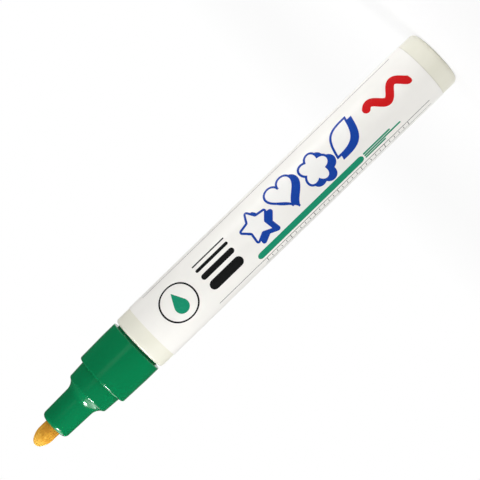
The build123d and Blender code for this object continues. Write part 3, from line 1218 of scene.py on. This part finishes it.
@dataclass
class FrontHolder:
    """The green front moulding: collar, step, flare and nose, with a spigot in the barrel's mouth."""

    nose_length: float = 10.9 * MM
    nose_front_radius: float = 3.86 * MM
    nose_rear_radius: float = 4.06 * MM
    nose_edge: float = 1.2 * MM
    flare_length: float = 2.6 * MM
    step_length: float = 4.6 * MM
    step_ledge: float = 1.09 * MM
    step_taper: float = 0.29 * MM
    step_edge: float = 0.7 * MM
    collar_length: float = 11.4 * MM
    collar_taper: float = 0.19 * MM
    collar_edge: float = 0.5 * MM
    cap_land: float = 4.0 * MM
    heel_chamfer: float = 0.15 * MM
    neck_wall: float = 1.5 * MM
    neck_sink: float = 0.15 * MM
    spigot_radius: float = 6.47 * MM
    spigot_bore: float = 5.2 * MM
    spigot_bore_length: float = 8.0 * MM
    bead_place: float = 6.0 * MM
    bead_height: float = 0.25 * MM
    chamber_wall: float = 2.4 * MM
    chamber_cone: float = 5.0 * MM
    nib_bore: float = 2.65 * MM
    lip_bore: float = 2.25 * MM
    lip_length: float = 2.0 * MM
    mouth_chamfer: float = 0.2 * MM
    rib_count: int = 6
    rib_width: float = 0.7 * MM
    rib_sides: int = 16
    segments: int = 192

    def __post_init__(self) -> None:
        """Take the moulding's place from the frame, and its heights from its lengths."""
        low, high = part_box("front_holder")
        self.spigot_rear = low.z
        self.nose_front = high.z
        self.step_front = self.nose_front - self.nose_length
        self.collar_front = self.step_front - self.step_length
        self.collar_rear = self.collar_front - self.collar_length
        self.collar_rear_radius = high.x
        self.collar_front_radius = self.collar_rear_radius - self.collar_taper
        self.step_rear_radius = self.collar_front_radius - self.step_ledge
        self.step_front_radius = self.step_rear_radius - self.step_taper
        self.bore_front = self.nose_front - self.lip_length
        self.chamber_front = self.collar_front - self.chamber_wall
        self.chamber_radius = self.collar_front_radius - self.chamber_wall
        self.neck_radius = self.chamber_radius + self.neck_wall
        self.neck_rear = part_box("barrel")[1].z - self.neck_sink
        self.bore_rear = self.chamber_front + self.chamber_cone

    def flare(self, steps: int = 12) -> list[Point]:
        """Draw the rounded front edge of the step and the hollow flare up to the nose.

        Args:
            steps: Chords in each of the two arcs.

        Returns:
            Points from the side of the step to the side of the nose.
        """
        nose_rear = Vector((self.nose_rear_radius, self.step_front + self.flare_length))
        nose_way = (Vector((self.nose_front_radius, self.nose_front)) - nose_rear).normalized()
        outwards = Vector((nose_way.y, -nose_way.x))
        corner = Vector((self.step_front_radius, self.step_front))
        chord = corner - nose_rear
        hollow = chord.length_squared / (2 * chord.dot(outwards))
        hollow_centre = nose_rear + outwards * hollow
        step_rear = Vector((self.step_rear_radius, self.collar_front))
        step_way = (corner - step_rear).normalized()
        inwards = Vector((-step_way.y, step_way.x))
        start = step_rear + inwards * self.step_edge - hollow_centre
        along = start.dot(step_way)
        reach = hollow + self.step_edge
        travel = -along - math.sqrt(along**2 - start.length_squared + reach**2)
        edge_centre = hollow_centre + start + step_way * travel
        meeting = edge_centre + (hollow_centre - edge_centre).normalized() * self.step_edge
        edge = arc_points(edge_centre, edge_centre - inwards * self.step_edge, meeting, steps)
        return edge + arc_points(hollow_centre, meeting, nose_rear, steps)[1:]

    def outline(self) -> list[Point]:
        """Draw the half section from the spigot's rear over the collar and nose, and back along the bore.

        Returns:
            Points of (radius, height).
        """
        bead = self.spigot_rear + self.bead_place
        heel = self.collar_rear + self.heel_chamfer
        spigot_step = self.spigot_rear + self.spigot_bore_length
        lip = self.nose_front - self.mouth_chamfer
        rear = rounded_outline((
            Corner(self.spigot_bore, self.spigot_rear),
            Corner(self.spigot_radius, self.spigot_rear, self.mouth_chamfer),
            Corner(self.spigot_radius, bead - self.bead_height),
            Corner(self.spigot_radius + self.bead_height, bead, self.bead_height / 2),
            Corner(self.spigot_radius, bead + self.bead_height),
            Corner(self.spigot_radius, self.neck_rear),
            Corner(self.neck_radius, self.neck_rear),
            Corner(self.neck_radius, self.collar_rear),
            Corner(self.collar_rear_radius - self.heel_chamfer, self.collar_rear),
            Corner(self.collar_rear_radius, heel),
            Corner(self.collar_rear_radius, self.collar_rear + self.cap_land),
            Corner(self.collar_front_radius, self.collar_front, self.collar_edge),
            Corner(self.step_rear_radius, self.collar_front),
        ))
        front = rounded_outline((
            Corner(self.nose_rear_radius, self.step_front + self.flare_length),
            Corner(self.nose_front_radius, self.nose_front, self.nose_edge),
            Corner(self.lip_bore + self.mouth_chamfer, self.nose_front),
            Corner(self.lip_bore, lip),
            Corner(self.lip_bore, self.bore_front),
            Corner(self.nib_bore, self.bore_front),
            Corner(self.nib_bore, self.bore_rear),
            Corner(self.chamber_radius, self.chamber_front),
            Corner(self.chamber_radius, spigot_step),
            Corner(self.spigot_bore, spigot_step),
        ))
        return rear + self.flare()[:-1] + front

    def ribs(self) -> Piece:
        """Make the guide ribs that stand round the nose's bore.

        Returns:
            The ribs as one piece.
        """
        recipe = NodeRecipe("nose_guide_ribs")
        reach = self.bore_front - self.bore_rear
        count = recipe.size("Count", self.rib_count)
        sides = recipe.size("Rib Sides", self.rib_sides)
        bore = recipe.size("Bore Radius", self.nib_bore)
        radius = recipe.size("Rib Radius", self.rib_width / 2)
        length = recipe.size("Rib Length", reach)
        middle = recipe.size("Middle", (0.0, 0.0, self.bore_rear + reach / 2))
        ring = recipe.shape("MeshCircle", Vertices=count, Radius=bore)
        rod = recipe.shape("MeshCylinder", Vertices=sides, Radius=radius, Depth=length)
        ribs = recipe.shape("InstanceOnPoints", Points=ring, Instance=rod)
        return recipe.bake(recipe.shape("Transform", Geometry=ribs, Translation=middle), GREEN)

    def build(self) -> None:
        """Turn the moulding, add its ribs and put both in the frame."""
        moulding = mesh_piece("holder_moulding", lathe(self.outline(), self.segments, closed=True), GREEN)
        settle(moulding, Body.PEN, "front_holder")
        settle(self.ribs(), Body.PEN)


@dataclass
class Nib:
    """The fibre bullet: a turned felt with drawn fibres and a little nap."""

    bullet_length: float = 3.7 * MM
    tip_radius: float = 1.45 * MM
    tail_chamfer: float = 0.4 * MM
    felt_start: float = 8.5 * MM
    felt_step: float = 0.1 * MM
    groove_depth: float = 0.022 * MM
    groove_cells: float = 2600.0
    groove_draw: float = 0.16
    fibre_density: float = 9.0 / MM**2
    fibre_length: float = 0.55 * MM
    fibre_radius: float = 0.016 * MM
    fibre_sides: int = 5
    fibre_lean: float = 0.02
    fibre_stray: float = 0.1
    fibre_seed: int = 7
    segments: int = 180

    def __post_init__(self) -> None:
        """Take the nib's place from the frame."""
        low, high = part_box("nib")
        self.radius = high.x
        self.tail = low.z
        self.apex = high.z

    def outline(self) -> list[Point]:
        """Draw the half section from the tail to the apex, with close rows where the felt shows.

        Returns:
            Points of (radius, height).
        """
        shoulder = Vector((self.radius, self.apex - self.bullet_length))
        flank = self.radius**2 + self.bullet_length**2 - 2 * self.bullet_length * self.tip_radius
        flank /= 2 * (self.radius - self.tip_radius)
        flank_centre = shoulder - Vector((flank, 0))
        tip_centre = Vector((0, self.apex - self.tip_radius))
        joint = flank_centre + (tip_centre - flank_centre).normalized() * flank
        shaft = self.felt_start - self.bullet_length
        rows = round(shaft / self.felt_step)
        felt = [(self.radius, shoulder.y - shaft * (rows - row) / rows) for row in range(rows)]
        felt += arc_points(flank_centre, shoulder, joint, round(self.bullet_length / self.felt_step))
        cap_rows = round(QUARTER_TURN * self.tip_radius / self.felt_step)
        felt += arc_points(tip_centre, joint, Vector((0, self.apex)), cap_rows)[1:-1]
        tail = [(0, self.tail), (self.radius - self.tail_chamfer, self.tail)]
        tail.append((self.radius, self.tail + self.tail_chamfer))
        return tail + felt + [(0, self.apex)]

    def draw_fibres(self, shape: bmesh.types.BMesh) -> None:
        """Press fine grooves along the fibres into the felt.

        Args:
            shape: Turned nib, changed in place.
        """
        for vertex in shape.verts:
            ring = Vector((vertex.co.x, vertex.co.y, 0))
            if vertex.co.z < self.apex - self.felt_start or ring.length == 0:
                continue
            cell = Vector((vertex.co.x, vertex.co.y, vertex.co.z * self.groove_draw)) * self.groove_cells
            share = (1 + noise.noise(cell)) / 2 * min(1, ring.length / self.tip_radius)
            vertex.co -= ring.normalized() * self.groove_depth * share

    def nap(self, surface: bpy.types.Mesh) -> Piece:
        """Lay short loose fibres along the felt.

        Args:
            surface: Mesh of the nib.

        Returns:
            The fibres as one piece.
        """
        recipe = NodeRecipe("nib_nap")
        felt = recipe.source()
        density = recipe.size("Density", self.fibre_density)
        seed = recipe.size("Seed", self.fibre_seed)
        length = recipe.size("Fibre Length", self.fibre_length)
        radius = recipe.size("Fibre Radius", self.fibre_radius)
        sides = recipe.size("Fibre Sides", self.fibre_sides)
        stray = recipe.size("Stray", self.fibre_stray)
        axis = recipe.size("Axis", (self.fibre_lean, 0.0, 1.0))
        rear = recipe.size("Felt Rear", self.apex - self.felt_start + 2 * self.fibre_length)
        front = recipe.size("Felt Front", self.apex - self.fibre_length)
        height = recipe.place()[2]
        over = recipe.number("GREATER_THAN", height, rear)
        shown = recipe.number("MULTIPLY", over, recipe.number("LESS_THAN", height, front))
        spread = {"Mesh": felt, "Density": density, "Seed": seed, "Selection": shown}
        points, normal, _ = recipe.add("GeometryNodeDistributePointsOnFaces", spread).outputs
        lift = recipe.measure("DOT_PRODUCT", axis, normal)
        along = recipe.vector("SUBTRACT", axis, recipe.scaled(normal, lift))
        bounds = {"Min": (-1.0, -1.0, -1.0), "Max": (1.0, 1.0, 1.0), "Seed": seed}
        sway = recipe.add("FunctionNodeRandomValue", bounds, data_type="FLOAT_VECTOR").outputs["Value"]
        heading = recipe.vector("ADD", along, recipe.scaled(sway, stray))
        turned = recipe.add("FunctionNodeAlignRotationToVector", {"Vector": heading}, axis="Z").outputs[0]
        fibre = recipe.shape("MeshCylinder", Vertices=sides, Radius=radius, Depth=length)
        fibres = recipe.shape("InstanceOnPoints", Points=points, Instance=fibre, Rotation=turned)
        return recipe.bake(fibres, FELT, surface=surface)

    def build(self) -> None:
        """Turn the felt, draw its fibres, add the nap and put both in the frame."""
        shape = lathe(self.outline(), self.segments, closed=False)
        self.draw_fibres(shape)
        bullet = mesh_piece("nib_bullet", shape, FELT)
        nap = self.nap(bullet.data)
        settle(bullet, Body.PLUNGER, "nib")
        settle(nap, Body.PLUNGER)


@dataclass
class Valve:
    """The pump valve behind the nib: its plain nodes dressed, and its spring wound."""

    wire_radius: float = 0.2 * MM
    turns: float = 6.5
    points_per_turn: int = 40
    wire_sides: int = 14
    nib_travel: float = 1.8 * MM

    def spring(self) -> Piece:
        """Wind the compression spring in the space that its node holds.

        Returns:
            The spring as one piece.
        """
        low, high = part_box("valve_spring")
        recipe = NodeRecipe("spring_coil")
        turns = recipe.size("Turns", self.turns)
        radius = recipe.size("Coil Radius", high.x - self.wire_radius)
        wire = recipe.size("Wire Radius", self.wire_radius)
        rise = recipe.size("Coil Height", high.z - low.z - 2 * self.wire_radius)
        start = recipe.size("Start", (0.0, 0.0, low.z + self.wire_radius))
        steps = recipe.size("Points Per Turn", self.points_per_turn)
        sides = recipe.size("Wire Sides", self.wire_sides)
        helix = {"Rotations": turns, "Start_Radius": radius, "End_Radius": radius, "Height": rise}
        path = recipe.shape("CurveSpiral", Resolution=steps, **helix)
        section = recipe.shape("CurvePrimitiveCircle", Resolution=sides, Radius=wire)
        coil = recipe.shape("CurveToMesh", Curve=path, Profile_Curve=section, Fill_Caps=True)
        placed = recipe.shape("Transform", Geometry=coil, Translation=start)
        return recipe.bake(placed, SPRING_STEEL)

    def build(self) -> None:
        """Dress the valve's nodes and put the spring in the frame."""
        dress_nodes(VALVE_WHITE, "valve_housing", "spring_cage", "valve_stem")
        dress_nodes(RUBBER, "barrel_gasket", "valve_washer")
        spring = self.spring()
        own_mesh(spring)
        settle(spring, Body.PEN, "valve_spring")


@dataclass(frozen=True)
class SoftBox:
    """A soft box, with a grid in front of it where its light spreads less than all round."""

    name: str
    place: Triple
    aim: Triple
    size: Point
    power: float
    spread: float = math.pi
    glints_only: bool = False

    def hang(self) -> None:
        """Put the lamp in the scene."""
        data = bpy.data.lights.new(self.name, "AREA")
        data.shape = "RECTANGLE"
        data.size, data.size_y = self.size
        data.energy = self.power
        data.spread = self.spread
        lamp = in_scene(self.name, data)
        lamp.location = self.place
        lamp.rotation_euler = (Vector(self.aim) - Vector(self.place)).to_track_quat("-Z", "Y").to_euler()
        lamp.visible_camera = False
        lamp.visible_diffuse = not self.glints_only


LAMPS = (
    SoftBox(
        "key_box",
        place=(-0.116, -0.087, 0.245),
        aim=(0.0, 0.0, 0.116),
        size=(0.05, 0.05),
        power=0.0262,
        spread=math.radians(60),
    ),
    SoftBox(
        "fill_box",
        place=(0.32, -0.12, 0.042),
        aim=(0.0, 0.0, 0.034),
        size=(0.06, 0.06),
        power=0.0071,
        spread=math.radians(26),
    ),
    SoftBox(
        "glint_card",
        place=(-0.092, -0.094, 0.276),
        aim=(0.0, 0.0, 0.107),
        size=(0.07, 0.06),
        power=0.036,
        spread=math.radians(24),
        glints_only=True,
    ),
    SoftBox(
        "rim_strip",
        place=(-0.122, 0.04, 0.35),
        aim=(0.0, 0.0, 0.113),
        size=(0.34, 0.2),
        power=0.77,
        glints_only=True,
    ),
    SoftBox(
        "sheen_strip",
        place=(0.17, -0.53, 0.09),
        aim=(0.0, 0.0, 0.107),
        size=(0.14, 0.3),
        power=0.07,
        glints_only=True,
    ),
)


@dataclass
class Studio:
    """Floor, lamps, surroundings and camera."""

    floor_half: float = 0.6
    floor_colour: Colour = srgb(240, 240, 240)
    floor_lift: float = 0.72
    floor_share: float = 0.3
    floor_span: Point = (0.25, 0.55)
    room_level: float = 0.8
    dim_level: float = 0.05
    wall_span: Point = (0.9, 1.0)
    ceiling_span: Point = (0.5, 0.85)
    ceiling_level: float = 0.1
    camera_place: Triple = (0.00095, -0.4642, 0.0622)
    camera_roll: float = math.radians(-134.12)
    lens: float = 150.0
    sensor: float = 36.0
    nearest_view: float = 10.0 * MM

    def camera(self) -> None:
        """Set the camera square to the marker's axis, rolled as the photograph is."""
        data = bpy.data.cameras.new("photo_camera")
        data.lens = self.lens
        data.sensor_width = self.sensor
        data.clip_start = self.nearest_view
        camera = in_scene("photo_camera", data)
        right = Vector((math.cos(self.camera_roll), 0, math.sin(self.camera_roll)))
        up = Vector((-math.sin(self.camera_roll), 0, math.cos(self.camera_roll)))
        back = Vector((0, -1, 0))
        turn = Matrix((right, up, back)).transposed().to_4x4()
        camera.matrix_world = Matrix.Translation(self.camera_place) @ turn
        bpy.context.scene.camera = camera

    def surroundings(self) -> None:
        """Make the room: white where the camera looks and behind the marker, dim towards the lens."""
        world = bpy.data.worlds.new("studio_room")
        world.use_nodes = True
        bpy.context.scene.world = world
        sheet = NodeSheet(world.node_tree)
        lens, mirrored = sheet.rays()
        _, depth, height = sheet.split(sheet.add("ShaderNodeTexCoord").outputs["Generated"])
        wall = sheet.span(depth, self.wall_span, (self.dim_level, 1.0))
        ceiling = sheet.span(height, self.ceiling_span, (0.0, self.ceiling_level))
        levels = {"Factor": mirrored, "A": self.room_level, "B": sheet.number("MAXIMUM", wall, ceiling)}
        level = sheet.add("ShaderNodeMix", levels).outputs["Result"]
        background = sheet.tree.nodes["Background"]
        background.inputs["Color"].default_value = WHITE
        sheet.feed(background.inputs["Strength"], sheet.number("MAXIMUM", level, lens))

    def floor_finish(self) -> Material:
        """Make the floor's finish: pale for light that it throws back, white to the eye but for shadow.

        Returns:
            The material.
        """
        material = bpy.data.materials.new("floor_white")
        material.use_nodes = True
        sheet = NodeSheet(material.node_tree)
        sheet.tree.nodes.clear()
        lens, mirrored = sheet.rays()
        away = sheet.measure("LENGTH", sheet.add("ShaderNodeTexCoord").outputs["Object"])
        far = sheet.span(away, self.floor_span)
        tone = (self.floor_share, self.floor_share, self.floor_share, 1.0)
        shaded = sheet.add("ShaderNodeBsdfDiffuse", {"Color": tone}).outputs[0]
        glow = sheet.add("ShaderNodeEmission", {"Strength": self.floor_lift}).outputs[0]
        white = sheet.add("ShaderNodeEmission", {"Strength": 1.0}).outputs[0]
        near = sheet.add("ShaderNodeAddShader", {0: shaded, 1: glow}).outputs[0]
        shown = sheet.add("ShaderNodeMixShader", {0: far, 1: near, 2: white}).outputs[0]
        plain = sheet.add("ShaderNodeBsdfDiffuse", {"Color": self.floor_colour}).outputs[0]
        seen = sheet.number("MAXIMUM", mirrored, lens)
        mixed = sheet.add("ShaderNodeMixShader", {0: seen, 1: plain, 2: shown}).outputs[0]
        sheet.add("ShaderNodeOutputMaterial", {"Surface": mixed})
        return material

    def floor(self) -> None:
        """Lay the floor."""
        half = self.floor_half
        mesh = bpy.data.meshes.new("studio_floor")
        corners = [(-half, -half, 0), (half, -half, 0), (half, half, 0), (-half, half, 0)]
        mesh.from_pydata(corners, [], [(0, 1, 2, 3)])
        mesh.materials.append(self.floor_finish())
        in_scene("studio_floor", mesh)

    def build(self) -> None:
        """Set up the whole studio."""
        bpy.context.scene.view_settings.view_transform = "Standard"
        self.camera()
        for lamp in LAMPS:
            lamp.hang()
        self.surroundings()
        self.floor()


def main() -> None:
    """Build the marker piece by piece and report it."""
    logging.basicConfig(level=logging.INFO, format="%(name)s: %(message)s")
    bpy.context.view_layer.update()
    for part in (Studio, Barrel, Label, FrontHolder, Nib, Valve):
        part().build()
    dress_nodes(BALL_STEEL, "mixing_ball")


if __name__ == "__main__":
    main()
